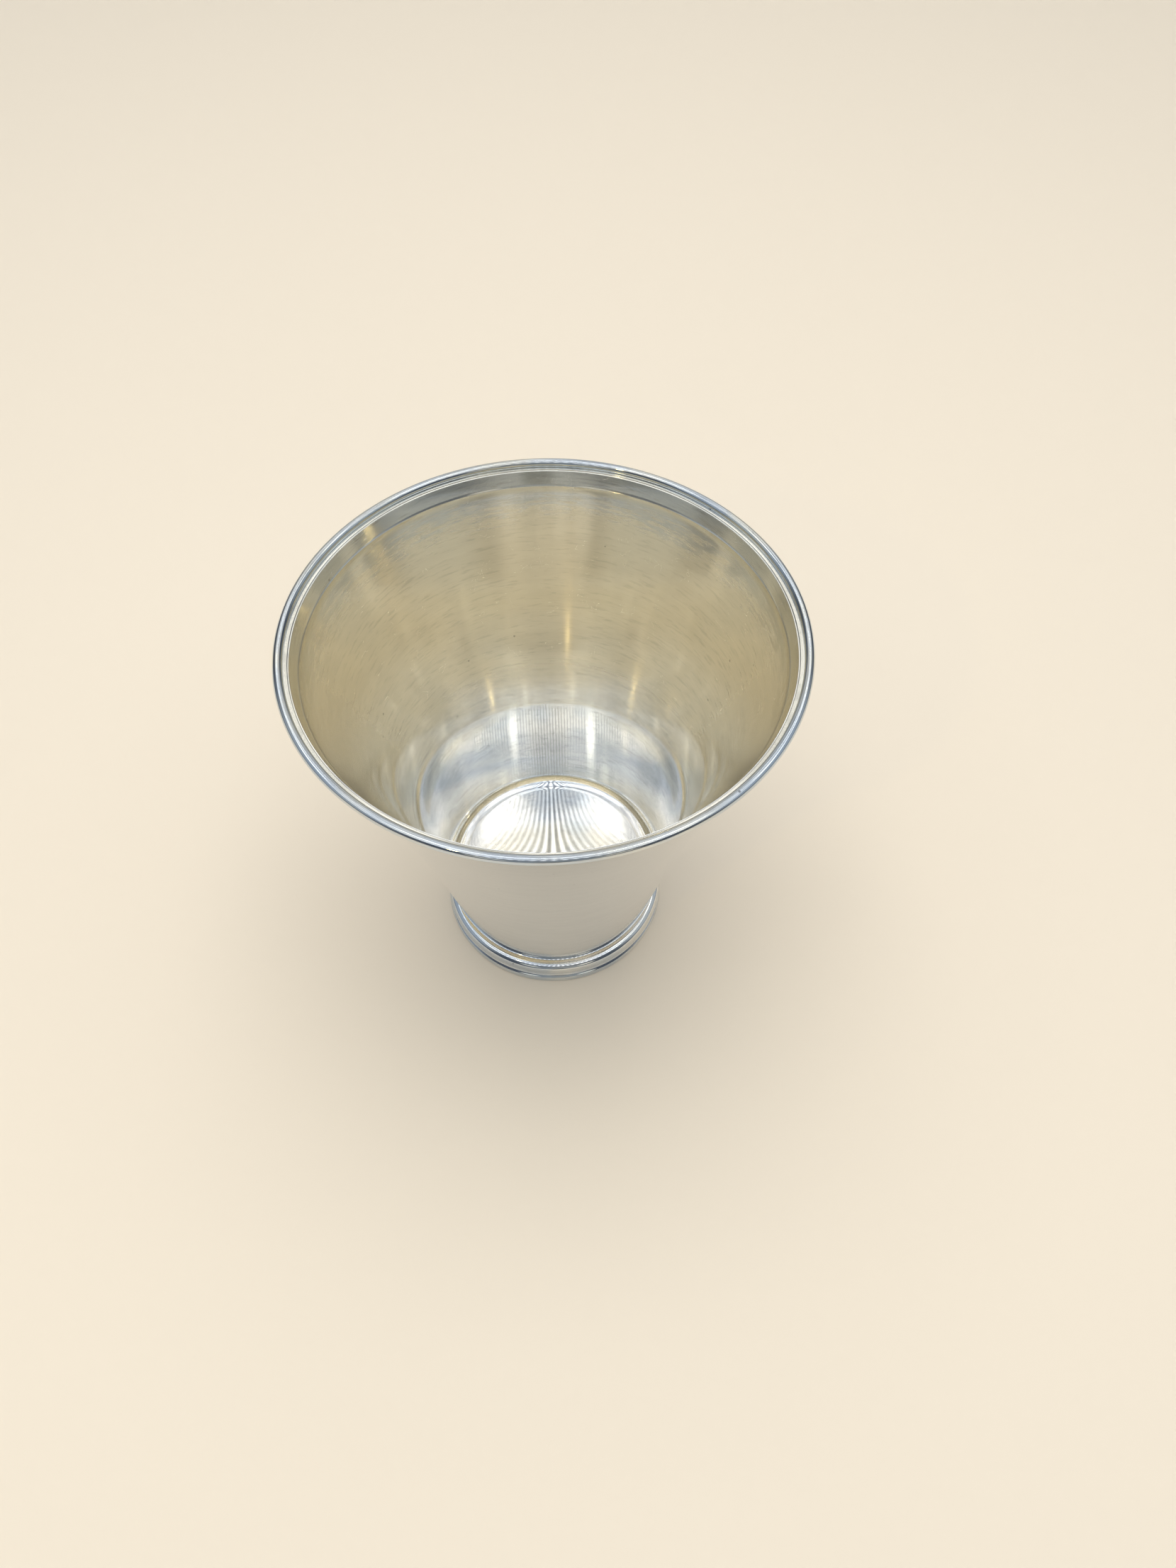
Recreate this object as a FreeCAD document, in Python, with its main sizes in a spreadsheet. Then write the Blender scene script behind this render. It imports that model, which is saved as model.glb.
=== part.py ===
import FreeCAD, Part
import os

import Sketcher

# A flared metal cup on a moulded foot ring. Every piece is turned about the Z axis.
# The origin is the middle of the face that the cup stands on, and Z is up.
# Each outline is drawn in the XZ plane as (radius, height) pairs, in millimetres.

DIMENSIONS = [
    # alias, value, what it is
    ("rim_height", 64.4, "top of the rim wire above the table"),
    ("rim_radius", 34.0, "outer radius over the rim wire"),
    ("wire_radius", 0.625, "radius of the round wire itself"),
    ("seat_low_drop", 0.465, "outer corner of the wire's seat, below the wire's centre"),
    ("seat_high_drop", 0.275, "inner corner of the wire's seat, below the wire's centre"),
    ("flare_foot", 16.24, "flare control radius at the wall's bottom edge"),
    ("flare_low", 19.98, "flare control radius a third of the way up"),
    ("flare_high", 24.77, "flare control radius two thirds of the way up"),
    ("flare_lip", 33.13, "flare control radius at the height of the wire's centre"),
    ("wall_bottom", 1.2, "height of the wall's bottom edge"),
    ("wall_thickness", 0.84, "wall thickness, measured level"),
    ("land_height", 63.45, "height of the lip's land at its inner corner"),
    ("line_height", 61.3, "height of the turned line inside the lip"),
    ("line_depth", 0.06, "depth of a turned line"),
    ("line_width", 0.24, "width of a turned line at the wall's surface"),
    ("floor_height", 8.2, "top of the floor above the table"),
    ("floor_thickness", 0.9, "thickness of the floor disc"),
    ("floor_radius", 16.49, "radius of the floor disc"),
    ("floor_lift", 0.35, "rise of the floor's turned-up edge"),
    ("floor_flat_radius", 14.6, "radius of the floor's flat middle"),
    ("floor_bend_radius", 3.6, "radius of the bend up to the floor's edge"),
    ("floor_land", 0.35, "level width of the floor's edge"),
    ("floor_seam_rise", 0.65, "height of the floor's solder fillet above the floor's edge"),
    ("floor_seam_land", 0.2, "how far the floor's solder fillet laps over the floor's edge"),
    ("floor_seam_depth", 1.05, "depth of the solder beside the floor's edge"),
    ("seam_gap", 0.03, "gap between the wall and the pieces soldered to it"),
    ("base_radius", 18.2, "outer radius of the foot's base edge"),
    ("base_round", 0.25, "rounding of the foot's bottom corner"),
    ("base_side_height", 0.75, "top of the upright part of the base edge"),
    ("base_top_radius", 18.0, "radius where the base edge meets the hollow"),
    ("base_top_height", 1.2, "height where the base edge meets the hollow"),
    ("base_top_round", 0.605, "rounding of the base edge's top"),
    ("hollow_radius", 1.33, "radius of the hollow between base edge and moulding"),
    ("neck_radius", 17.6, "foot radius at the top of the hollow"),
    ("neck_height", 2.15, "height of the top of the hollow"),
    ("moulding_centre_radius", 16.75, "distance of the round moulding's centre from the axis"),
    ("moulding_centre_height", 3.1, "height of the round moulding's centre"),
    ("moulding_radius", 1.35, "radius of the round moulding"),
    ("moulding_start_drop", 0.775, "start of the round moulding, below its centre"),
    ("foot_top", 4.445, "height of the foot ring's top edge"),
    ("foot_inner_radius", 15.2, "inner radius of the ledge under the wall"),
    ("foot_seam_rise", 0.4, "height of the foot's solder fillet above the foot ring"),
    ("foot_seam_reach", 0.22, "reach of the foot's solder fillet out over the moulding"),
    ("rim_seam_fall", 0.56, "height of the rim's solder fillet down the wall"),
    ("rim_seam_shoulder", 0.245, "inset of the rim solder's shoulder from the wire's centre"),
    ("floor_seam_round", 0.95, "radius of the floor's solder fillet"),
]

doc = FreeCAD.newDocument("jigger")
sheet = doc.addObject("Spreadsheet::Sheet", "dims")
for row, (alias, size, note) in enumerate(DIMENSIONS, start=1):
    sheet.set(f"A{row}", note)
    sheet.set(f"B{row}", str(size))
    sheet.setAlias(f"B{row}", alias)
doc.recompute()


def value(expression):
    """Number that an expression on the dimension sheet gives now."""
    return float(sheet.evalExpression(expression))


def blend(first, second, share):
    """Expression that lies the given share of the way from first to second."""
    return f"(({first}) * (1 - ({share})) + ({second}) * ({share}))"


# ---------------------------------------------------------------- shared geometry

WIRE_R = "(dims.rim_radius - dims.wire_radius)"
WIRE_Z = "(dims.rim_height - dims.wire_radius)"
FLARE = ["dims.flare_foot", "dims.flare_low", "dims.flare_high", "dims.flare_lip"]


def flare_share(height):
    """Where a height lies between the wall's bottom edge and the wire's centre."""
    return f"((({height}) - dims.wall_bottom) / ({WIRE_Z} - dims.wall_bottom))"


def flare_curve(height, inset="0"):
    """Four control points of the wall's flare, from the bottom edge up to a height."""
    share = flare_share(height)
    row = list(FLARE)
    radii = [row[0]]
    while len(row) > 1:
        row = [blend(low, high, share) for low, high in zip(row, row[1:])]
        radii.append(row[0])
    rises = [f"dims.wall_bottom + (({height}) - dims.wall_bottom) * {step} / 3" for step in range(4)]
    return [(f"{radius} - {inset}", rise) for radius, rise in zip(radii, rises)]


def flare_radius(height, inset="0"):
    """Radius of the wall at a height; the inset moves it in from the outer face."""
    return flare_curve(height, inset)[-1][0]


def circle_side(centre, radius, offset, side):
    """Coordinate on a circle at an offset from its centre, on the + or - side."""
    return f"{centre} {side} sqrt(({radius})^2 - ({offset})^2)"


# ---------------------------------------------------------------- drawing helpers

def arc(radius, bulge):
    """Round stretch; bulge is the side of the travel direction that it swells to."""
    return {"kind": "arc", "radius": radius, "bulge": bulge}


def curve(poles):
    """Smooth stretch with the two inner control points of a cubic curve."""
    return {"kind": "curve", "poles": poles}


def point(pair):
    radius, height = pair
    return FreeCAD.Vector(value(radius), value(height), 0)


def arc_through(start, end, radius, bulge):
    """Arc of a given radius from start to end, on the shorter way round."""
    chord = end - start
    middle = (start + end) * 0.5
    left = FreeCAD.Vector(-chord.y, chord.x, 0).normalize()
    rise = radius - (radius ** 2 - (chord.Length / 2) ** 2) ** 0.5
    side = 1 if bulge == "left" else -1
    return Part.Arc(start, middle + left * rise * side, end)


def pin_coordinate(sketch, kind, axis, geometry, end, expression):
    """Hold one coordinate of a point at the size that an expression gives."""
    size = value(expression)
    if abs(size) < 1e-9:
        sketch.addConstraint(Sketcher.Constraint("PointOnObject", geometry, end, axis))
        return
    number = sketch.addConstraint(Sketcher.Constraint(kind, -1, 1, geometry, end, size))
    sketch.setExpression(f"Constraints[{number}]", expression)


def pin_point(sketch, geometry, end, pair):
    """Hold a point at a (radius, height) pair."""
    vertical_axis, horizontal_axis = -2, -1
    pin_coordinate(sketch, "DistanceX", vertical_axis, geometry, end, pair[0])
    pin_coordinate(sketch, "DistanceY", horizontal_axis, geometry, end, pair[1])


def new_profile(body, name):
    """Empty sketch on the body's own XZ plane."""
    sketch = body.newObject("Sketcher::SketchObject", name)
    plane = [item for item in body.Origin.OriginFeatures if item.Role == "XZ_Plane"][0]
    sketch.AttachmentSupport = [(plane, "")]
    sketch.MapMode = "FlatFace"
    return sketch


def draw_outline(sketch, corners, bends):
    """Closed outline through (radius, height) corners; bends[i] shapes the stretch after corner i."""
    ends = []
    count = len(corners)
    for index in range(count):
        start = point(corners[index])
        finish = point(corners[(index + 1) % count])
        bend = bends.get(index)
        if bend is None:
            edge = Part.LineSegment(start, finish)
        elif bend["kind"] == "arc":
            edge = arc_through(start, finish, value(bend["radius"]), bend["bulge"])
        else:
            poles = [start] + [point(pair) for pair in bend["poles"]] + [finish]
            edge = Part.BSplineCurve(poles, [4, 4], [0.0, 1.0], False, 3)
        geometry = sketch.addGeometry(edge, False)
        drawn_start = sketch.getPoint(geometry, 1)
        forward = drawn_start.distanceToPoint(start) < drawn_start.distanceToPoint(finish)
        ends.append((geometry, 1 if forward else 2, 2 if forward else 1))
    for index in range(count):
        geometry, start_end, finish_end = ends[index]
        next_geometry, next_start, _ = ends[(index + 1) % count]
        sketch.addConstraint(
            Sketcher.Constraint("Coincident", geometry, finish_end, next_geometry, next_start))
        pin_point(sketch, geometry, start_end, corners[index])
        bend = bends.get(index)
        if bend is not None and bend["kind"] == "arc":
            number = sketch.addConstraint(
                Sketcher.Constraint("Radius", geometry, value(bend["radius"])))
            sketch.setExpression(f"Constraints[{number}]", bend["radius"])
    for index, bend in bends.items():
        if bend["kind"] == "curve":
            geometry = ends[index][0]
            first_pole = sketch.GeometryCount
            sketch.exposeInternalGeometry(geometry)
            for step, pair in enumerate(bend["poles"], start=1):
                pin_point(sketch, first_pole + step, 3, pair)


def turned_body(name):
    """New body, labelled with the name of the piece."""
    body = doc.addObject("PartDesign::Body", name)
    body.Label = name
    return body


def revolve(body, sketch, kind="PartDesign::Revolution"):
    """Turn a profile once round the upright axis, as a solid or as a cut."""
    feature = body.newObject(kind, f"{sketch.Name}_turn")
    feature.Profile = sketch
    feature.ReferenceAxis = (sketch, ["V_Axis"])
    feature.Angle = 360
    sketch.Visibility = False
    body.Tip = feature
    return feature


def turned_piece(name, corners, bends):
    """Piece made by turning one closed outline round the upright axis."""
    body = turned_body(name)
    sketch = new_profile(body, f"{name}_outline")
    draw_outline(sketch, corners, bends)
    revolve(body, sketch)
    return body


# ---------------------------------------------------------------- the pieces

SEAT_LOW = (circle_side(WIRE_R, "dims.wire_radius", "dims.seat_low_drop", "-"),
            f"{WIRE_Z} - dims.seat_low_drop")
SEAT_HIGH = (circle_side(WIRE_R, "dims.wire_radius", "dims.seat_high_drop", "-"),
             f"{WIRE_Z} - dims.seat_high_drop")


def make_cup_wall():
    """Spun wall: flared, open at both ends, with a seat for the wire and a flat land beside it."""
    outer = flare_curve(SEAT_LOW[1])
    inner = flare_curve("dims.land_height", "dims.wall_thickness")
    corners = [outer[0], SEAT_LOW, SEAT_HIGH, inner[3], inner[0]]
    bends = {
        0: curve(outer[1:3]),
        1: arc("dims.wire_radius", "left"),
        3: curve([inner[2], inner[1]]),
    }
    wall = turned_piece("cup_wall", corners, bends)
    solid_before = wall.Tip
    line = new_profile(wall, "turned_line")
    face = flare_radius("dims.line_height", "dims.wall_thickness")
    tip = (f"{face} + dims.line_depth", "dims.line_height")
    low = (f"{face} - dims.line_depth", "dims.line_height - dims.line_width")
    high = (f"{face} - dims.line_depth", "dims.line_height + dims.line_width")
    draw_outline(line, [tip, high, low], {})
    cut = revolve(wall, line, "PartDesign::Groove")
    doc.recompute()
    if cut.Shape.Volume >= solid_before.Shape.Volume:
        raise RuntimeError("the turned line cuts nothing")


def make_rim_wire():
    """Round wire round the lip."""
    body = turned_body("rim_wire")
    sketch = new_profile(body, "rim_wire_outline")
    centre = point((WIRE_R, WIRE_Z))
    circle = Part.Circle(centre, FreeCAD.Vector(0, 0, 1), value("dims.wire_radius"))
    geometry = sketch.addGeometry(circle, False)
    pin_point(sketch, geometry, 3, (WIRE_R, WIRE_Z))
    number = sketch.addConstraint(
        Sketcher.Constraint("Radius", geometry, value("dims.wire_radius")))
    sketch.setExpression(f"Constraints[{number}]", "dims.wire_radius")
    revolve(body, sketch)


def make_rim_solder():
    """Solder fillet in the corner under the wire, outside the wall."""
    wire_bottom = f"{WIRE_Z} - dims.wire_radius"
    foot_height = f"{SEAT_LOW[1]} - dims.rim_seam_fall"
    corners = [
        SEAT_LOW,
        (f"{WIRE_R} - dims.rim_seam_shoulder", wire_bottom),
        (WIRE_R, wire_bottom),
        (flare_radius(foot_height), foot_height),
    ]
    turned_piece("rim_solder", corners, {})


def make_floor_disc():
    """Flat bottom with a turned-up edge, set into the lower end of the wall."""
    edge_height = "dims.floor_height + dims.floor_lift"
    underside = "dims.floor_height - dims.floor_thickness"
    corners = [
        ("0", underside),
        ("dims.floor_radius", underside),
        ("dims.floor_radius", edge_height),
        ("dims.floor_radius - dims.floor_land", edge_height),
        ("dims.floor_flat_radius", "dims.floor_height"),
        ("0", "dims.floor_height"),
    ]
    turned_piece("floor_disc", corners, {3: arc("dims.floor_bend_radius", "left")})


def make_floor_solder():
    """Solder between the floor's edge and the wall, with a hollow fillet on top."""
    edge_height = "dims.floor_height + dims.floor_lift"
    bottom = f"{edge_height} - dims.floor_seam_depth"
    top = f"{edge_height} + dims.floor_seam_rise"
    corners = [
        ("dims.floor_radius", bottom),
        (flare_radius(bottom, "dims.wall_thickness"), bottom),
        (flare_radius(top, "dims.wall_thickness"), top),
        ("dims.floor_radius - dims.floor_seam_land", edge_height),
        ("dims.floor_radius", edge_height),
    ]
    turned_piece("floor_solder", corners, {2: arc("dims.floor_seam_round", "left")})


def make_foot_ring():
    """Moulded ring that sleeves over the wall's lower end and holds it on a ledge."""
    moulding_start = (
        circle_side("dims.moulding_centre_radius", "dims.moulding_radius",
                    "dims.moulding_start_drop", "+"),
        "dims.moulding_centre_height - dims.moulding_start_drop")
    bore_top = f"{flare_radius('dims.foot_top')} + dims.seam_gap"
    bore_bottom = "dims.flare_foot + dims.seam_gap"
    corners = [
        ("dims.foot_inner_radius", "0"),
        ("dims.base_radius - dims.base_round", "0"),
        ("dims.base_radius", "dims.base_round"),
        ("dims.base_radius", "dims.base_side_height"),
        ("dims.base_top_radius", "dims.base_top_height"),
        ("dims.neck_radius", "dims.neck_height"),
        moulding_start,
        ("dims.moulding_centre_radius + dims.moulding_radius", "dims.moulding_centre_height"),
        (bore_top, "dims.foot_top"),
        (bore_bottom, "dims.wall_bottom"),
        ("dims.foot_inner_radius", "dims.wall_bottom"),
    ]
    turned_piece("foot_ring", corners, {
        1: arc("dims.base_round", "right"),
        3: arc("dims.base_top_round", "right"),
        4: arc("dims.hollow_radius", "left"),
        6: arc("dims.moulding_radius", "right"),
        7: arc("dims.moulding_radius", "right"),
    })


def make_foot_solder():
    """Solder fillet between the top of the foot ring and the wall."""
    bottom = "dims.foot_top"
    top = f"{bottom} + dims.foot_seam_rise"
    reach = f"{flare_radius(bottom)} + dims.seam_gap + dims.foot_seam_reach"
    corners = [
        (flare_radius(bottom), bottom),
        (reach, bottom),
        (flare_radius(top), top),
    ]
    turned_piece("foot_solder", corners, {})


make_cup_wall()
make_rim_wire()
make_rim_solder()
make_floor_disc()
make_floor_solder()
make_foot_ring()
make_foot_solder()
doc.recompute()

for item in doc.Objects:
    if "Invalid" in item.State or "Error" in item.State:
        raise RuntimeError(f"{item.Name} failed to recompute: {item.State}")
    if item.TypeId == "Sketcher::SketchObject" and item.solve() != 0:
        raise RuntimeError(f"{item.Name} does not solve")

pieces = [item for item in doc.Objects if item.TypeId == "PartDesign::Body"]
for piece in pieces:
    shape = piece.Shape
    if shape.isNull() or not shape.isValid() or len(shape.Solids) != 1:
        raise RuntimeError(f"{piece.Label} is not one valid solid")

os.makedirs("parts", exist_ok=True)
for piece in pieces:
    piece.Shape.exportStep(f"parts/{piece.Label}.step")
    box = piece.Shape.optimalBoundingBox()
    print(f"{piece.Label}: volume {piece.Shape.Volume:.1f} mm3, "
          f"height {box.ZMin:.3f} to {box.ZMax:.3f} mm, width {box.XLength:.3f} mm")
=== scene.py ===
"""A flared bar jigger in polished silver-coloured metal, on a plain pale floor."""

import math

import bmesh
import bpy
from mathutils import Matrix, Vector


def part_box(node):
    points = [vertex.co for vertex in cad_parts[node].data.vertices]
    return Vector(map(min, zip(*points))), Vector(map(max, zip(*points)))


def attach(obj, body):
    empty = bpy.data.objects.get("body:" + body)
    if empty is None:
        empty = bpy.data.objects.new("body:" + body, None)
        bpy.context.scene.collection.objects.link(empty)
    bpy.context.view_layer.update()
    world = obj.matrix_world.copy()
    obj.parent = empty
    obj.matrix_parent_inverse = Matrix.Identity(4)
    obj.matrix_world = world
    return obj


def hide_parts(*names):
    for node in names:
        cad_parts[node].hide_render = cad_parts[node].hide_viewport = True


bl_info = {
    "name": "Bar Jigger",
    "version": (1, 0, 0),
    "blender": (4, 5, 0),
    "location": "View3D > Sidebar > Jigger",
    "description": "Builds a flared metal jigger around its CAD frame, with a studio to show it in",
    "category": "Object",
}

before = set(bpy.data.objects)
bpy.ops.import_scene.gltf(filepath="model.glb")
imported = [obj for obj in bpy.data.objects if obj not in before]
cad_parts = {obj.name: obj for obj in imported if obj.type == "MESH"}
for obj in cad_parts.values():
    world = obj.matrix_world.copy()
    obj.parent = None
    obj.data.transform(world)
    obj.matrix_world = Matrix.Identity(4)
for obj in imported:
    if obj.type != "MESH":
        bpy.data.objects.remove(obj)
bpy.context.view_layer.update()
BODY = "root"
MM = 0.001
MICRON = 0.000001


# ---------------------------------------------------------------- sizes read from the frame

def node_top(node):
    """Height of a CAD node's highest point."""
    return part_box(node)[1].z


def node_bottom(node):
    """Height of a CAD node's lowest point."""
    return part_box(node)[0].z


def node_radius(node):
    """Largest radius of a turned CAD node."""
    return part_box(node)[1].x


WIRE_RADIUS = (node_top("rim_wire") - node_bottom("rim_wire")) / 2
WIRE_CENTRE = (node_radius("rim_wire") - WIRE_RADIUS, node_top("rim_wire") - WIRE_RADIUS)


# ---------------------------------------------------------------- properties

def length(label, description, default):
    """Length property, given in metres."""
    return bpy.props.FloatProperty(
        name=label, description=description, default=default, min=0.0, unit="LENGTH", precision=5)


def metal_colour(label, description, default):
    """Colour property."""
    return bpy.props.FloatVectorProperty(
        name=label, description=description, default=default, size=3, min=0.0, max=1.0,
        subtype="COLOR")


class JiggerSizes(bpy.types.PropertyGroup):
    """Sizes of the turned outlines that the frame's boxes don't give."""

    flare_foot: length("Flare foot", "Control radius at the wall's bottom edge", 16.24 * MM)
    flare_low: length("Flare low", "Control radius a third of the way up", 19.98 * MM)
    flare_high: length("Flare high", "Control radius two thirds of the way up", 24.77 * MM)
    flare_lip: length("Flare lip", "Control radius at the height of the wire", 33.13 * MM)
    wall_thickness: length("Wall", "Wall thickness, measured level", 0.84 * MM)
    land_drop: length("Land", "Drop of the lip's land below the rim", 0.95 * MM)
    land_round: length("Land round", "Rounding of the land's inner corner", 0.16 * MM)
    line_drop: length("Turned line", "Drop of the turned line below the rim", 3.1 * MM)
    line_rise: length("Line rise", "Height of the burr that the turned line leaves", 0.03 * MM)
    line_width: length("Line width", "Half the width of the turned line", 0.07 * MM)
    seat_low: length("Seat low", "Drop of the wire's seat, where the wall leaves it", 0.465 * MM)
    seat_high: length("Seat high", "Drop of the wire's seat, where the land starts", 0.275 * MM)
    rim_seam_drop: length("Rim seam", "Drop of the rim solder's edge on the wire", 0.6134 * MM)
    rim_seam_round: length("Rim seam round", "Radius of the rim's solder fillet", 1.7 * MM)
    floor_lift: length("Floor lift", "Rise of the floor's turned-up edge", 0.35 * MM)
    floor_flat: length("Floor flat", "Radius of the floor's flat middle", 14.6 * MM)
    floor_bend: length("Floor bend", "Radius of the bend up to the floor's edge", 3.6 * MM)
    floor_land: length("Floor land", "Level width of the floor's edge", 0.35 * MM)
    floor_lap: length("Floor seam lap", "Lap of the solder over the floor's edge", 0.2 * MM)
    floor_seam_round: length("Floor seam", "Radius of the floor's solder fillet", 0.95 * MM)
    base_round: length("Base round", "Rounding of the foot's bottom corner", 0.25 * MM)
    base_side: length("Base side", "Top of the upright part of the base edge", 0.75 * MM)
    base_top: length("Base top", "Height where the base edge meets the hollow", 1.2 * MM)
    base_top_inset: length("Base inset", "Inset of the base edge's top", 0.2 * MM)
    base_top_round: length("Base top round", "Rounding of the base edge's top", 0.605 * MM)
    hollow_round: length("Hollow", "Radius of the hollow above the base edge", 1.33 * MM)
    neck_inset: length("Neck inset", "Inset of the neck from the base edge", 0.6 * MM)
    neck_height: length("Neck height", "Height of the neck", 2.15 * MM)
    moulding_round: length("Moulding", "Radius of the foot's round moulding", 1.35 * MM)
    moulding_centre: length("Moulding centre", "Distance of the moulding's centre from the axis",
                            16.75 * MM)
    moulding_height: length("Moulding height", "Height of the moulding's centre", 3.1 * MM)
    moulding_drop: length("Moulding start", "Drop of the moulding's lower end", 0.775 * MM)
    foot_inner: length("Foot inner", "Inner radius of the ledge under the wall", 15.2 * MM)
    foot_gap: length("Foot gap", "Gap between the foot ring and the wall", 0.03 * MM)
    foot_seam_reach: length("Foot seam", "Reach of the solder out over the moulding", 0.27 * MM)
    foot_seam_round: length("Foot seam round", "Radius of the foot's solder fillet", 0.45 * MM)


class JiggerFinish(bpy.types.PropertyGroup):
    """Colours of the metal."""

    bright: metal_colour("Bright metal", "Clean polished metal", (0.89, 0.89, 0.87))
    warm: metal_colour("Warm metal", "Tarnished metal inside the upper wall", (0.86, 0.78, 0.58))
    # grey tint of the band inside the lip: a painted reflection of dark surroundings
    lip: metal_colour("Lip", "Metal just inside the lip", (0.78, 0.78, 0.72))
    # silver darkened and tinted blue: a painted reflection of bluish light, used on the rim wire,
    # foot ring and floor disc
    bluish_reflection_tint: metal_colour("Cool metal", "Rim wire and foot ring", (0.6, 0.67, 0.76))
    outside: metal_colour("Outside", "Clean metal outside the wall", (0.76, 0.79, 0.82))
    seam: metal_colour("Solder", "Dull solder in the seams", (0.48, 0.45, 0.36))


class JiggerStage(bpy.types.PropertyGroup):
    """Floor, lights and camera."""

    floor_colour: metal_colour("Floor", "Plain pale floor", (0.84, 0.76, 0.64))
    floor_size: length("Floor size", "Side of the floor", 4.0)
    backdrop: metal_colour("Backdrop", "Plain backdrop behind the floor", (0.72, 0.7, 0.66))
    wall_glow: metal_colour("Walls", "Dim light from the studio's walls", (0.1, 0.11, 0.125))
    ceiling_glow: metal_colour("Ceiling", "Light from the studio's ceiling", (0.6, 0.61, 0.63))
    camera_distance: length("Camera distance", "Distance of the camera in front of the cup", 0.0948)
    camera_height: length("Camera height", "Height of the camera above the floor", 0.1655)
    camera_pitch: bpy.props.FloatProperty(
        name="Pitch", description="Tilt of the camera below level", default=math.radians(54.92),
        subtype="ANGLE")
    camera_pan: bpy.props.FloatProperty(
        name="Pan", description="Turn of the camera to the right", default=math.radians(3.4),
        subtype="ANGLE")
    camera_roll: bpy.props.FloatProperty(
        name="Roll", description="Roll of the camera", default=math.radians(0.39),
        subtype="ANGLE")
    focal_length: bpy.props.FloatProperty(
        name="Focal length", description="Lens on a 36 mm sensor", default=24.97, min=1.0)


# ---------------------------------------------------------------- outlines

def arc_between(start, end, radius, bulge, steps):
    """Points of an arc from start to end, both left in; it swells to the given side of travel."""
    a = Vector(start)
    b = Vector(end)
    chord = b - a
    left = Vector((-chord.y, chord.x)).normalized()
    side = 1 if bulge == "left" else -1
    reach = math.sqrt(max(radius ** 2 - (chord.length / 2) ** 2, 0.0))
    centre = (a + b) / 2 - left * side * reach
    first = math.atan2(a.y - centre.y, a.x - centre.x)
    last = math.atan2(b.y - centre.y, b.x - centre.x)
    sweep = (last - first + math.pi) % (2 * math.pi) - math.pi
    return [
        (centre.x + radius * math.cos(first + sweep * step / steps),
         centre.y + radius * math.sin(first + sweep * step / steps))
        for step in range(steps + 1)
    ]


def flare_radius(sizes, height, inset=0.0):
    """Radius of the flared wall at a height; the inset moves in from the outer face."""
    low = node_bottom("cup_wall")
    t = (height - low) / (WIRE_CENTRE[1] - low)
    return (sizes.flare_foot * (1 - t) ** 3 + 3 * sizes.flare_low * t * (1 - t) ** 2
            + 3 * sizes.flare_high * t ** 2 * (1 - t) + sizes.flare_lip * t ** 3 - inset)


def flare_points(sizes, first, last, steps, inset=0.0):
    """Points up or down the flared wall."""
    heights = [first + (last - first) * step / steps for step in range(steps + 1)]
    return [(flare_radius(sizes, height, inset), height) for height in heights]


def circle_point(centre, radius, drop, side):
    """Point on a circle at a drop below its centre, on the inner (-1) or outer (+1) side."""
    return (centre[0] + side * math.sqrt(radius ** 2 - drop ** 2), centre[1] - drop)


# ---------------------------------------------------------------- turned pieces

def turned_mesh(name, outline, segments=360, sharp_angle=math.radians(28)):
    """Object made by spinning a closed outline of (radius, height) points round the Z axis."""
    shape = bmesh.new()
    ring = [shape.verts.new((radius, 0.0, height)) for radius, height in outline]
    edges = [shape.edges.new(pair) for pair in zip(ring, ring[1:])]
    if outline[0][0] > 0:
        edges.append(shape.edges.new((ring[-1], ring[0])))
    bmesh.ops.spin(
        shape, geom=ring + edges, cent=(0, 0, 0), axis=(0, 0, 1), dvec=(0, 0, 0),
        angle=2 * math.pi, steps=segments, use_merge=True, use_normal_flip=False,
        use_duplicate=False)
    bmesh.ops.remove_doubles(shape, verts=shape.verts, dist=1e-7)
    bmesh.ops.recalc_face_normals(shape, faces=shape.faces)
    for face in shape.faces:
        face.smooth = True
    for edge in shape.edges:
        if len(edge.link_faces) == 2 and edge.calc_face_angle() > sharp_angle:
            edge.smooth = False
    mesh = bpy.data.meshes.new(name)
    shape.to_mesh(mesh)
    shape.free()
    piece = bpy.data.objects.new(name, mesh)
    bpy.context.scene.collection.objects.link(piece)
    return piece


def finish_piece(piece, node, material):
    """Give a piece its metal and its place in the frame, and hide the CAD node that it stands for.
    """
    piece.data.materials.append(material)
    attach(piece, BODY)
    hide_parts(node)


# ---------------------------------------------------------------- materials

class Shader:
    """Small helper that adds and links the nodes of one material."""

    def __init__(self, owner, surface="Principled BSDF"):
        owner.use_nodes = True
        self.owner = owner
        self.tree = owner.node_tree
        self.surface = self.tree.nodes[surface]

    def node(self, kind, inputs=None, **settings):
        """New node; settings are its properties, inputs its sockets' values or links."""
        item = self.tree.nodes.new(kind)
        for key, setting in settings.items():
            setattr(item, key, setting)
        for key, source in (inputs or {}).items():
            self.feed(item.inputs[key], source)
        return item

    def feed(self, socket, source):
        """Link a socket, or set its value."""
        if isinstance(source, bpy.types.NodeSocket):
            self.tree.links.new(source, socket)
        else:
            socket.default_value = source

    def math(self, operation, first, second=0.0, third=0.0):
        """Math node's result."""
        item = self.node("ShaderNodeMath", {0: first, 1: second, 2: third}, operation=operation)
        return item.outputs[0]

    def mix_colour(self, factor, first, second):
        """Colour between first and second."""
        item = self.node("ShaderNodeMix", data_type="RGBA")
        self.feed(item.inputs["Factor"], factor)
        self.feed(item.inputs[6], first)
        self.feed(item.inputs[7], second)
        return item.outputs[2]

    def range(self, source, low, high, out_low=0.0, out_high=1.0, smooth=True):
        """Value mapped from one range to another, and held inside it."""
        item = self.node(
            "ShaderNodeMapRange",
            {"Value": source, "From Min": low, "From Max": high, "To Min": out_low,
             "To Max": out_high},
            interpolation_type="SMOOTHSTEP" if smooth else "LINEAR")
        return item.outputs["Result"]


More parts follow.
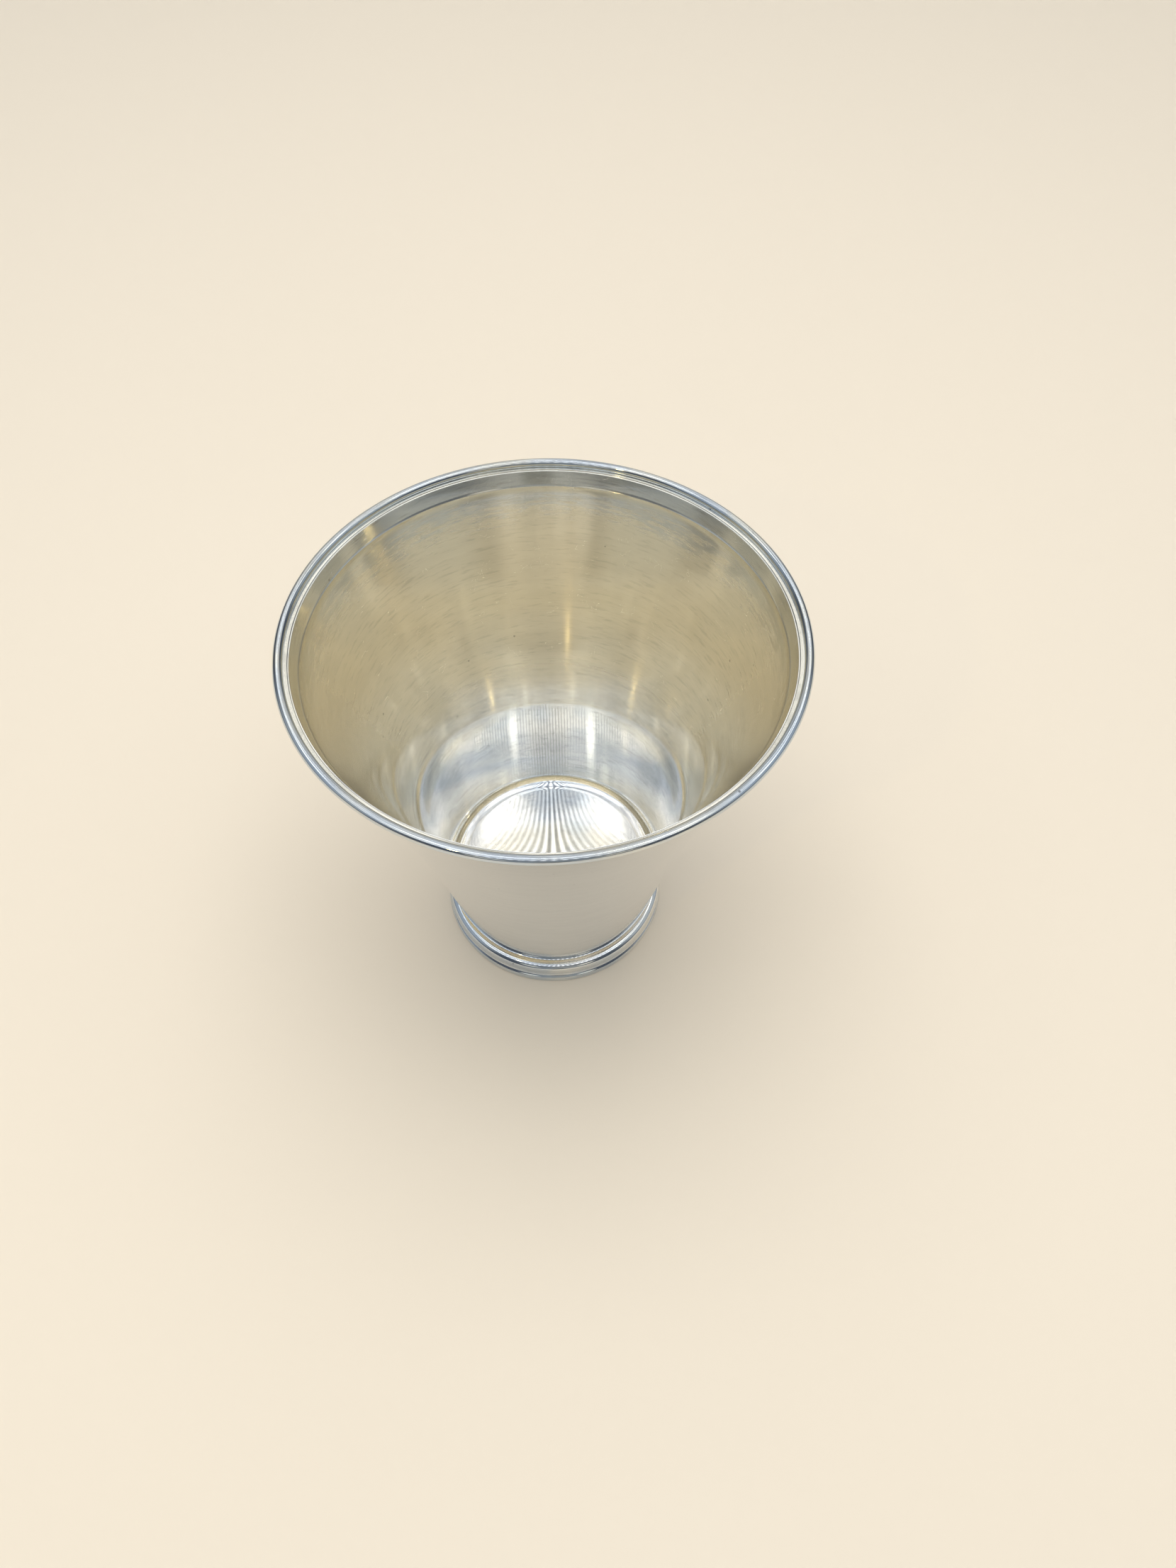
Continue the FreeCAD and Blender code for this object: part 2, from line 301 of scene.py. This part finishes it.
# scale round the axis, scale along the outline, detail of the noise
FINE_MARKS = (1.2, 9000.0, 6.0)
BROAD_MARKS = (2.2, 900.0, 3.0)
SHORT_MARKS = (9.0, 3000.0, 3.0)
# turn, scale and width of the hairlines
HAIRLINES = (((0.3, 0.5, 0.7), 700.0, 0.012), ((1.1, 0.2, 2.1), 600.0, 0.01))
CLOUD_SCALE = 90.0
PIT_SCALE = 420.0
PIT_SIZE = 0.09
PIT_SHARE = 0.12
# heights inside the wall over which each change comes on
TARNISH_RISE = (24 * MM, 36 * MM)
SATIN_RISE = (22 * MM, 36 * MM)
# the lip band's painted grey reflection comes on over these heights, where that reflection begins
LIP_REFLECTION_RISE = (57.4 * MM, 60.6 * MM)
TARNISH_WANDER = 6 * MM
LIP_REFLECTION_WANDER = 14 * MM
INNER_ROUGHNESS = (0.08, 0.17)
OUTER_ROUGHNESS = 0.05
WALL_GRAIN = 0.95
WALL_MARKS = 1.5 * MICRON
HAZE = 0.42
GLOSS_ROUGHNESS = 0.05
GLOSS_IOR = 2.6


class TurnedMetal(Shader):
    """Polished metal turned on a lathe, with tool marks, hairlines and pits."""

    def __init__(self, name, along):
        super().__init__(bpy.data.materials.new(name))
        self.position = self.node("ShaderNodeTexCoord").outputs["Object"]
        parts = self.node("ShaderNodeSeparateXYZ", {0: self.position})
        level = self.node("ShaderNodeCombineXYZ",
                          {"X": parts.outputs["X"], "Y": parts.outputs["Y"]})
        outward = self.node("ShaderNodeVectorMath", {0: level.outputs[0]}, operation="NORMALIZE")
        distance = self.node("ShaderNodeVectorMath", {0: level.outputs[0]}, operation="LENGTH")
        self.outward = outward.outputs[0]
        self.height = parts.outputs["Z"]
        radius = distance.outputs["Value"]
        self.path = {"height": self.height, "radius": radius}.get(along)
        if self.path is None:
            self.path = self.math("ADD", radius, self.height)
        cloud = self.node("ShaderNodeTexNoise",
                          {"Vector": self.position, "Scale": CLOUD_SCALE, "Detail": 4.0})
        self.cloud = cloud.outputs["Fac"]
        self.fine = self.turning_marks(*FINE_MARKS)
        self.short = self.turning_marks(*SHORT_MARKS)
        self.scratches = self.math("MAXIMUM", *[self.hairlines(*lines) for lines in HAIRLINES])

    def turning_marks(self, round_scale, along_scale, detail):
        """Noise drawn out round the piece, as polishing on a lathe leaves it."""
        spread = self.node("ShaderNodeVectorMath", {0: self.outward}, operation="SCALE")
        spread.inputs["Scale"].default_value = round_scale
        lift = self.node("ShaderNodeCombineXYZ",
                         {"Z": self.math("MULTIPLY", self.path, along_scale)})
        place = self.node("ShaderNodeVectorMath", {0: spread.outputs[0], 1: lift.outputs[0]})
        noise = self.node("ShaderNodeTexNoise", {"Vector": place.outputs[0], "Scale": 1.0,
                                                 "Detail": detail, "Roughness": 0.6})
        return noise.outputs["Fac"]

    def hairlines(self, turn, scale, width):
        """Sparse thin scratches lying roughly one way, as a mask."""
        turned = self.node("ShaderNodeMapping", {"Vector": self.position, "Rotation": turn,
                                                 "Scale": (scale, scale * 0.05, scale)})
        noise = self.node("ShaderNodeTexNoise", {"Vector": turned.outputs[0], "Scale": 1.0,
                                                 "Detail": 1.0})
        off = self.math("ABSOLUTE", self.math("SUBTRACT", noise.outputs["Fac"], 0.5))
        patches = self.node("ShaderNodeTexNoise", {"Vector": self.position,
                                                   "Scale": scale * 0.4, "Detail": 1.0})
        sparse = self.range(patches.outputs["Fac"], 0.56, 0.66)
        return self.math("MULTIPLY", self.range(off, 0.0, width, 1.0, 0.0), sparse)

    def pits(self):
        """Small scattered pits, as a mask; only a share of the cells holds one."""
        cells = self.node("ShaderNodeTexVoronoi", {"Vector": self.position, "Scale": PIT_SCALE})
        chance = self.node("ShaderNodeSeparateXYZ", {0: cells.outputs["Color"]})
        dots = self.range(cells.outputs["Distance"], PIT_SIZE * 0.5, PIT_SIZE, 1.0, 0.0)
        held = self.math("GREATER_THAN", chance.outputs["X"], 1.0 - PIT_SHARE)
        return self.math("MULTIPLY", dots, held)

    def inside(self, towards=1.0, away=0.0):
        """One value on faces that look towards the axis, and the other on those that look away."""
        normal = self.node("ShaderNodeNewGeometry").outputs["Normal"]
        facing = self.node("ShaderNodeVectorMath", {0: normal, 1: self.outward},
                           operation="DOT_PRODUCT")
        return self.range(facing.outputs["Value"], -0.2, 0.2, towards, away)

    def paint(self, base):
        """Base colour, darkened by the marks and the pits."""
        tone = self.range(self.turning_marks(*BROAD_MARKS), 0.3, 0.7, 0.95, 1.02)
        dashes = self.range(self.short, 0.3, 0.48, self.inside(0.84, 0.96), 1.0)
        tone = self.math("MULTIPLY", tone, dashes)
        tone = self.math("MULTIPLY", tone, self.math("MULTIPLY_ADD", self.pits(), -0.5, 1.0))
        shade = self.node("ShaderNodeVectorMath", {0: base}, operation="SCALE")
        self.feed(shade.inputs["Scale"], tone)
        self.feed(self.surface.inputs["Base Color"], shade.outputs[0])

    def polish(self, roughness, grain, mark_depth):
        """Roughness, relief, and highlights that the grain round the axis draws out."""
        spread = self.range(self.fine, 0.25, 0.75, 0.75, 1.3, smooth=False)
        rough = self.math("MULTIPLY", roughness, spread)
        self.feed(self.surface.inputs["Roughness"],
                  self.math("MULTIPLY_ADD", self.scratches, 0.1, rough))
        relief = self.math("MULTIPLY_ADD", self.scratches, -0.5, self.fine)
        bump = self.node("ShaderNodeBump",
                         {"Height": relief, "Strength": 0.4, "Distance": mark_depth})
        self.feed(self.surface.inputs["Normal"], bump.outputs[0])
        self.surface.inputs["Anisotropic"].default_value = grain
        self.surface.inputs["Anisotropic Rotation"].default_value = 0.25
        tangent = self.node("ShaderNodeVectorMath", {0: (0.0, 0.0, 1.0), 1: self.outward},
                            operation="CROSS_PRODUCT")
        self.feed(self.surface.inputs["Tangent"], tangent.outputs[0])
        return bump.outputs[0]


def opaque(colour):
    """Colour with its alpha."""
    return (*colour, 1.0)


def piece_metal(name, along, first, second, roughness, grain, mark_depth):
    """Metal of a small piece, clouded with two colours."""
    metal = TurnedMetal(name, along)
    share = metal.range(metal.cloud, 0.35, 0.75)
    metal.paint(metal.mix_colour(share, opaque(first), opaque(second)))
    metal.polish(roughness, grain, mark_depth)
    metal.surface.inputs["Metallic"].default_value = 1.0
    return metal.owner


def wall_metal(finish):
    """Metal of the wall: tarnished and hazy inside, and clean outside; inside the lip it is
    untarnished and clear, tinted grey as a painted reflection of dark surroundings.
    """
    metal = TurnedMetal("wall_metal", "height")
    inside = metal.inside()
    wander = metal.math("MULTIPLY_ADD", metal.cloud, TARNISH_WANDER, -TARNISH_WANDER / 2)
    tarnish = metal.math("MULTIPLY", inside, metal.range(
        metal.math("ADD", metal.height, wander), *TARNISH_RISE))
    # painted reflection: grey band inside the lip, with a scratchy lower edge
    lip = metal.range(metal.math("MULTIPLY_ADD", metal.short, LIP_REFLECTION_WANDER,
                                 metal.math("SUBTRACT", metal.height, LIP_REFLECTION_WANDER / 2)), *LIP_REFLECTION_RISE)
    base = metal.mix_colour(inside, opaque(finish.outside), opaque(finish.bright))
    base = metal.mix_colour(tarnish, base, opaque(finish.warm))
    base = metal.mix_colour(metal.math("MULTIPLY", lip, inside), base, opaque(finish.lip))
    metal.paint(base)

    inner = metal.range(metal.height, *SATIN_RISE, *INNER_ROUGHNESS)
    relief = metal.polish(metal.inside(inner, OUTER_ROUGHNESS), WALL_GRAIN, WALL_MARKS)
    hazy = metal.math("SUBTRACT", metal.range(metal.height, *TARNISH_RISE), lip)
    clear = metal.math("MULTIPLY_ADD", metal.math("MULTIPLY", hazy, inside), -HAZE, 1.0)
    metal.feed(metal.surface.inputs["Metallic"], clear)
    metal.surface.inputs["Coat Weight"].default_value = 1.0
    metal.surface.inputs["Coat Roughness"].default_value = GLOSS_ROUGHNESS
    metal.surface.inputs["Coat IOR"].default_value = GLOSS_IOR
    metal.feed(metal.surface.inputs["Coat Normal"], relief)
    return metal.owner


# ---------------------------------------------------------------- operators: the pieces

class JIGGER_OT_wall(bpy.types.Operator):
    """Build the flared wall with the flat land and the turned line inside its lip"""

    bl_idname = "jigger.wall"
    bl_label = "Cup wall"

    def execute(self, context):
        sizes = context.scene.jigger_sizes
        top = node_top("rim_wire")
        seat_low = circle_point(WIRE_CENTRE, WIRE_RADIUS, sizes.seat_low, -1)
        seat_high = circle_point(WIRE_CENTRE, WIRE_RADIUS, sizes.seat_high, -1)
        bottom = node_bottom("cup_wall")
        outline = flare_points(sizes, bottom, seat_low[1], 60)
        outline[-1] = seat_low
        outline += arc_between(seat_low, seat_high, WIRE_RADIUS, "left", 3)[1:]
        inset = sizes.wall_thickness
        land = top - sizes.land_drop
        corner = flare_radius(sizes, land, inset)
        below = land - sizes.land_round
        outline += arc_between((corner + sizes.land_round, land),
                               (flare_radius(sizes, below, inset), below),
                               sizes.land_round, "left", 8)
        line = top - sizes.line_drop
        outline += flare_points(sizes, below, line + sizes.line_width, 8, inset)[1:]
        outline.append((flare_radius(sizes, line, inset) - sizes.line_rise, line))
        outline += flare_points(sizes, line - sizes.line_width, bottom, 64, inset)
        piece = turned_mesh("wall_metal", outline)
        finish_piece(piece, "cup_wall", wall_metal(context.scene.jigger_finish))
        return {"FINISHED"}


class JIGGER_OT_rim(bpy.types.Operator):
    """Build the round wire on the lip and the solder under it"""

    bl_idname = "jigger.rim"
    bl_label = "Rim wire"

    def execute(self, context):
        sizes = context.scene.jigger_sizes
        finish = context.scene.jigger_finish
        steps = 40
        outline = [
            (WIRE_CENTRE[0] + WIRE_RADIUS * math.cos(2 * math.pi * step / steps),
             WIRE_CENTRE[1] + WIRE_RADIUS * math.sin(2 * math.pi * step / steps))
            for step in range(steps)
        ]
        wire = turned_mesh("rim_bead", outline, segments=480)
        # rim wire: painted bluish reflection tint clouded with the lip band's painted grey
        # reflection
        finish_piece(wire, "rim_wire", piece_metal(
            "rim_metal", "both", finish.bluish_reflection_tint, finish.lip, 0.07, 0.5, 4 * MICRON))

        seat_low = circle_point(WIRE_CENTRE, WIRE_RADIUS, sizes.seat_low, -1)
        under_wire = circle_point(WIRE_CENTRE, WIRE_RADIUS, sizes.rim_seam_drop, 1)
        on_wall_height = node_bottom("rim_solder")
        on_wall = (flare_radius(sizes, on_wall_height), on_wall_height)
        outline = arc_between(seat_low, under_wire, WIRE_RADIUS, "right", 6)
        outline += arc_between(under_wire, on_wall, sizes.rim_seam_round, "right", 6)[1:]
        seam = turned_mesh("rim_seam", outline)
        finish_piece(seam, "rim_solder", piece_metal(
            "rim_seam", "both", finish.seam, finish.warm, 0.3, 0.3, 10 * MICRON))
        return {"FINISHED"}


class JIGGER_OT_floor(bpy.types.Operator):
    """Build the set-in floor and the solder round it"""

    bl_idname = "jigger.floor"
    bl_label = "Floor disc"

    def execute(self, context):
        sizes = context.scene.jigger_sizes
        finish = context.scene.jigger_finish
        radius = node_radius("floor_disc")
        underside = node_bottom("floor_disc")
        edge = node_top("floor_disc")
        level = edge - sizes.floor_lift
        bend_top = (radius - sizes.floor_land, edge)
        bend_low = (sizes.floor_flat, level)
        outline = [(0.0, underside), (radius, underside), (radius, edge)]
        outline += arc_between(bend_top, bend_low, sizes.floor_bend, "left", 16)
        outline += [(sizes.floor_flat * share, level) for share in (0.8, 0.6, 0.4, 0.2, 0.0)]
        disc = turned_mesh("floor_disc_metal", outline)
        # floor disc: bright metal clouded with the painted bluish reflection tint
        finish_piece(disc, "floor_disc", piece_metal(
            "floor_metal", "radius", finish.bright, finish.bluish_reflection_tint, 0.05, 0.8, 1.5 * MICRON))

        bottom = node_bottom("floor_solder")
        top = node_top("floor_solder")
        inset = sizes.wall_thickness
        on_wall = (flare_radius(sizes, top, inset), top)
        on_floor = (radius - sizes.floor_lap, edge)
        outline = [(radius, edge), (radius, bottom), (flare_radius(sizes, bottom, inset), bottom)]
        outline += arc_between(on_wall, on_floor, sizes.floor_seam_round, "left", 10)
        seam = turned_mesh("floor_seam", outline)
        finish_piece(seam, "floor_solder", piece_metal(
            "floor_seam", "both", finish.seam, finish.warm, 0.25, 0.3, 10 * MICRON))
        return {"FINISHED"}


class JIGGER_OT_foot(bpy.types.Operator):
    """Build the moulded foot ring and the solder above it"""

    bl_idname = "jigger.foot"
    bl_label = "Foot ring"

    def execute(self, context):
        sizes = context.scene.jigger_sizes
        finish = context.scene.jigger_finish
        base = node_radius("foot_ring")
        top = node_top("foot_ring")
        bottom = node_bottom("foot_ring")
        ledge = node_bottom("cup_wall")
        centre = (sizes.moulding_centre, sizes.moulding_height)
        base_low = (base - sizes.base_round, bottom)
        base_side_low = (base, bottom + sizes.base_round)
        base_side = (base, bottom + sizes.base_side)
        base_top = (base - sizes.base_top_inset, bottom + sizes.base_top)
        neck = (base - sizes.neck_inset, bottom + sizes.neck_height)
        moulding_start = circle_point(centre, sizes.moulding_round, sizes.moulding_drop, 1)
        moulding_side = (centre[0] + sizes.moulding_round, centre[1])
        bore_top = (flare_radius(sizes, top) + sizes.foot_gap, top)
        bore_low = (sizes.flare_foot + sizes.foot_gap, ledge)
        outline = [(sizes.foot_inner, ledge), (sizes.foot_inner, bottom)]
        outline += arc_between(base_low, base_side_low, sizes.base_round, "right", 6)
        outline += arc_between(base_side, base_top, sizes.base_top_round, "right", 8)
        outline += arc_between(base_top, neck, sizes.hollow_round, "left", 10)[1:]
        outline += arc_between(moulding_start, moulding_side, sizes.moulding_round, "right", 8)
        outline += arc_between(moulding_side, bore_top, sizes.moulding_round, "right", 20)[1:]
        outline.append(bore_low)
        ring = turned_mesh("foot_ring_metal", outline)
        # foot ring: painted bluish reflection tint clouded with bright metal
        finish_piece(ring, "foot_ring", piece_metal(
            "foot_metal", "both", finish.bluish_reflection_tint, finish.bright, 0.07, 0.4, 4 * MICRON))

        seam_top = node_top("foot_solder")
        out_along = bore_top[0] + sizes.foot_seam_reach
        rise = math.sqrt(sizes.moulding_round ** 2 - (out_along - centre[0]) ** 2)
        on_moulding = (out_along, centre[1] + rise)
        on_wall = (flare_radius(sizes, seam_top), seam_top)
        outline = arc_between(bore_top, on_moulding, sizes.moulding_round, "left", 4)
        outline += arc_between(on_moulding, on_wall, sizes.foot_seam_round, "left", 8)[1:]
        outline.append((flare_radius(sizes, top), top))
        seam = turned_mesh("foot_seam", outline)
        finish_piece(seam, "foot_solder", piece_metal(
            "foot_seam", "both", finish.warm, finish.bright, 0.2, 0.3, 10 * MICRON))
        return {"FINISHED"}


# ---------------------------------------------------------------- operator: the stage

# the cup mirrors itself many times over
TOTAL_BOUNCES = 16
MIRROR_BOUNCES = 14
# azimuth from +Y towards +X, elevation, inner and outer angle of the soft edge, colour, power
WORLD_PATCHES = (
    (0, 27, 20, 40, (1.0, 0.96, 0.88), 0.6),
    (-90, 30, 10, 38, (0.86, 0.94, 1.0), 0.5),
    (90, 30, 10, 38, (0.86, 0.94, 1.0), 0.5),
    (0, 56, 9, 18, (0.97, 0.98, 1.0), 0.42),
    (-26, 39, 2, 7, (1.0, 0.98, 0.93), 0.9),
    (-8, 37, 2, 6, (0.9, 0.93, 0.9), 0.36),
    (17, 38, 2, 7, (1.0, 0.98, 0.93), 0.9),
    (36, 36, 3, 9, (1.0, 0.98, 0.93), 0.85),
    (180, 57, 8, 20, (0.9, 0.95, 1.0), 0.4),
    (-55, 50, 1, 6, (1.0, 0.97, 0.88), 2.2),
    (66, 52, 1, 6, (1.0, 0.97, 0.88), 2.2),
    (-112, 46, 1, 6, (1.0, 0.97, 0.88), 1.1),
    (124, 48, 1, 6, (1.0, 0.97, 0.88), 1.1),
    (-82, 64, 1, 5, (1.0, 0.97, 0.88), 1.6),
    (95, 63, 1, 5, (1.0, 0.97, 0.88), 1.6),
    (180, 14, 10, 28, (0.9, 0.93, 0.9), 0.34),
    (157, 20, 3, 9, (1.0, 0.94, 0.78), 0.85),
    (204, 22, 3, 10, (1.0, 0.94, 0.78), 0.85),
    (180, 2, 2, 9, (0.6, 0.65, 0.6), 0.1),
)
# sine of the elevation, share of the ceiling's light
RING_STOPS = ((0.0, 0.0), (0.58, 0.0), (0.72, 1.0), (0.88, 1.0), (0.96, 0.45), (1.0, 0.45))
# lamps in rows overhead: a stop is a level distance over a height, and a brightness
ROW_PITCH = 0.0265
ROW_REACH = 0.42
ROW_STOPS = ((-0.3, 0.0), (-0.265, 0.0), (-0.25, 1.0), (-0.232, 1.0), (-0.21, 0.35),
             (-0.14, 0.3), (-0.09, 1.0), (0.14, 1.0), (0.24, 0.1), (0.3, 0.0))
# lamps set like spokes round the cup's axis, with stops of the same kind
SPOKE_PITCH = math.radians(4.5)
SPOKE_STOPS = ((0.26, 0.0), (0.32, 0.35), (0.41, 0.35), (0.46, 0.1), (0.5, 0.25), (0.55, 0.45),
               (0.62, 0.45), (0.68, 0.16), (0.78, 0.16), (0.85, 0.7), (0.97, 0.7), (1.08, 0.0))
ROW_POWER = 3.0
ROW_COLOUR = (1.0, 0.98, 0.93)
# name, place, side, power, colour, mirrored by the metal
PANELS = (
    ("warm_lamp", (-0.17, -0.22, 0.3), 0.014, 0.05, (1.0, 0.78, 0.36), True),
    ("floor_fill", (0.0, 0.05, 0.6), 0.5, 1.5, (1.0, 0.97, 0.93), False),
)


def add_floor(stage):
    """Plain pale floor under the cup."""
    shape = bmesh.new()
    bmesh.ops.create_grid(shape, x_segments=1, y_segments=1, size=stage.floor_size / 2)
    mesh = bpy.data.meshes.new("stage_floor")
    shape.to_mesh(mesh)
    shape.free()
    floor = bpy.data.objects.new("stage_floor", mesh)
    bpy.context.scene.collection.objects.link(floor)
    shader = Shader(bpy.data.materials.new("stage_floor"))
    shader.surface.inputs["Base Color"].default_value = opaque(stage.floor_colour)
    shader.surface.inputs["Roughness"].default_value = 0.7
    mesh.materials.append(shader.owner)


def add_panel(name, place, side, power, colour, mirrored):
    """Soft square lamp that faces the cup."""
    data = bpy.data.lights.new(name, "AREA")
    data.shape = "SQUARE"
    data.size = side
    data.energy = power
    data.color = colour
    lamp = bpy.data.objects.new(name, data)
    lamp.location = place
    lamp.rotation_euler = (-Vector(place)).to_track_quat("-Z", "Y").to_euler()
    lamp.visible_glossy = mirrored
    bpy.context.scene.collection.objects.link(lamp)


def aimed(azimuth, elevation):
    """Direction at an azimuth from +Y towards +X and an elevation, both in degrees."""
    turn = math.radians(azimuth)
    lift = math.radians(elevation)
    return (math.sin(turn) * math.cos(lift), math.cos(turn) * math.cos(lift), math.sin(lift))


def ramp(shader, source, stops):
    """Brightness that follows a list of (value, brightness) stops."""
    low = stops[0][0]
    high = stops[-1][0]
    item = shader.node("ShaderNodeValToRGB", {0: shader.range(source, low, high, smooth=False)})
    elements = item.color_ramp.elements
    while len(elements) < len(stops):
        elements.new(1.0)
    for element, (value, level) in zip(elements, stops):
        element.position = (value - low) / (high - low)
        element.color = (level, level, level, 1.0)
    return item.outputs["Color"]


def lamp_rows(shader, across, along, pitch, reach, stops):
    """Mask of rows of small lamps; the rows lie across, and the stops say where they are."""
    wave = shader.math("COSINE", shader.math("MULTIPLY", across, 2 * math.pi / pitch))
    lamps = shader.range(wave, -0.25, 0.45)
    ends = shader.range(shader.math("ABSOLUTE", across), reach, reach + 0.05, 1.0, 0.0)
    lit = shader.math("MULTIPLY", lamps, ramp(shader, along, stops))
    return shader.math("MULTIPLY", lit, ends)


def room_glow(shader, stage, direction, rise):
    """Dim walls, pale panels and a bright ceiling."""
    glow = shader.mix_colour(ramp(shader, rise, RING_STOPS), opaque(stage.wall_glow),
                             opaque(stage.ceiling_glow))
    for azimuth, elevation, inner, outer, colour, power in WORLD_PATCHES:
        facing = shader.node("ShaderNodeVectorMath", {0: direction, 1: aimed(azimuth, elevation)},
                             operation="DOT_PRODUCT")
        share = shader.range(facing.outputs["Value"], math.cos(math.radians(outer)),
                             math.cos(math.radians(inner)))
        glow = shader.mix_colour(share, glow, opaque([band * power for band in colour]))
    return glow


def add_world(stage):
    """Soft studio surroundings, with rows of small lamps overhead and a plain backdrop."""
    world = bpy.data.worlds.new("studio")
    bpy.context.scene.world = world
    shader = Shader(world, "Background")
    direction = shader.node("ShaderNodeTexCoord").outputs["Generated"]
    parts = shader.node("ShaderNodeSeparateXYZ", {0: direction})
    glow = room_glow(shader, stage, direction, parts.outputs["Z"])

    up = shader.math("MAXIMUM", parts.outputs["Z"], 0.05)
    across = shader.math("DIVIDE", parts.outputs["X"], up)
    along = shader.math("DIVIDE", parts.outputs["Y"], up)
    turn = shader.math("ARCTAN2", across, along)
    outward = shader.math("SQRT", shader.math("ADD", shader.math("MULTIPLY", across, across),
                                              shader.math("MULTIPLY", along, along)))
    lamps = opaque([band * ROW_POWER for band in ROW_COLOUR])
    rows = lamp_rows(shader, across, along, ROW_PITCH, ROW_REACH, ROW_STOPS)
    glow = shader.mix_colour(rows, glow, lamps)
    spokes = lamp_rows(shader, turn, outward, SPOKE_PITCH, math.pi, SPOKE_STOPS)
    glow = shader.mix_colour(spokes, glow, lamps)

    seen = shader.node("ShaderNodeLightPath").outputs["Is Camera Ray"]
    glow = shader.mix_colour(seen, glow, opaque(stage.backdrop))
    shader.feed(shader.surface.inputs["Color"], glow)


def add_camera(stage):
    """Camera looking down into the cup."""
    pitch, pan, roll = stage.camera_pitch, stage.camera_pan, stage.camera_roll
    ahead = Vector((math.sin(pan) * math.cos(pitch), math.cos(pan) * math.cos(pitch),
                    -math.sin(pitch)))
    level = Vector((math.cos(pan), -math.sin(pan), 0.0))
    upright = level.cross(ahead)
    right = level * math.cos(roll) + upright * math.sin(roll)
    up = upright * math.cos(roll) - level * math.sin(roll)
    data = bpy.data.cameras.new("camera")
    data.sensor_width = 36.0
    data.lens = stage.focal_length
    data.clip_start = 0.001
    camera = bpy.data.objects.new("camera", data)
    turn = Matrix((right, up, -ahead)).transposed()
    camera.matrix_world = Matrix.Translation(
        (0.0, -stage.camera_distance, stage.camera_height)) @ turn.to_4x4()
    bpy.context.scene.collection.objects.link(camera)
    bpy.context.scene.camera = camera


class JIGGER_OT_stage(bpy.types.Operator):
    """Set up the floor, the lights and the camera"""

    bl_idname = "jigger.stage"
    bl_label = "Stage"

    def execute(self, context):
        stage = context.scene.jigger_stage
        add_floor(stage)
        add_world(stage)
        for panel in PANELS:
            add_panel(*panel)
        add_camera(stage)
        context.scene.view_settings.view_transform = "Standard"
        context.scene.cycles.max_bounces = TOTAL_BOUNCES
        context.scene.cycles.glossy_bounces = MIRROR_BOUNCES
        return {"FINISHED"}


# ---------------------------------------------------------------- add-on

STEPS = (JIGGER_OT_wall, JIGGER_OT_rim, JIGGER_OT_floor, JIGGER_OT_foot, JIGGER_OT_stage)


class JIGGER_PT_panel(bpy.types.Panel):
    """Buttons and sizes in the 3D view's sidebar"""

    bl_idname = "JIGGER_PT_panel"
    bl_label = "Bar Jigger"
    bl_space_type = "VIEW_3D"
    bl_region_type = "UI"
    bl_category = "Jigger"

    def draw(self, context):
        for step in STEPS:
            self.layout.operator(step.bl_idname)
        for group in ("jigger_sizes", "jigger_finish", "jigger_stage"):
            settings = getattr(context.scene, group)
            box = self.layout.box()
            for key in settings.__annotations__:
                box.prop(settings, key)


CLASSES = (JiggerSizes, JiggerFinish, JiggerStage, *STEPS, JIGGER_PT_panel)


def register():
    for item in CLASSES:
        bpy.utils.register_class(item)
    bpy.types.Scene.jigger_sizes = bpy.props.PointerProperty(type=JiggerSizes)
    bpy.types.Scene.jigger_finish = bpy.props.PointerProperty(type=JiggerFinish)
    bpy.types.Scene.jigger_stage = bpy.props.PointerProperty(type=JiggerStage)


def unregister():
    del bpy.types.Scene.jigger_stage
    del bpy.types.Scene.jigger_finish
    del bpy.types.Scene.jigger_sizes
    for item in reversed(CLASSES):
        bpy.utils.unregister_class(item)


def main():
    register()
    bpy.ops.jigger.wall()
    bpy.ops.jigger.rim()
    bpy.ops.jigger.floor()
    bpy.ops.jigger.foot()
    bpy.ops.jigger.stage()


if __name__ == "__main__":
    main()
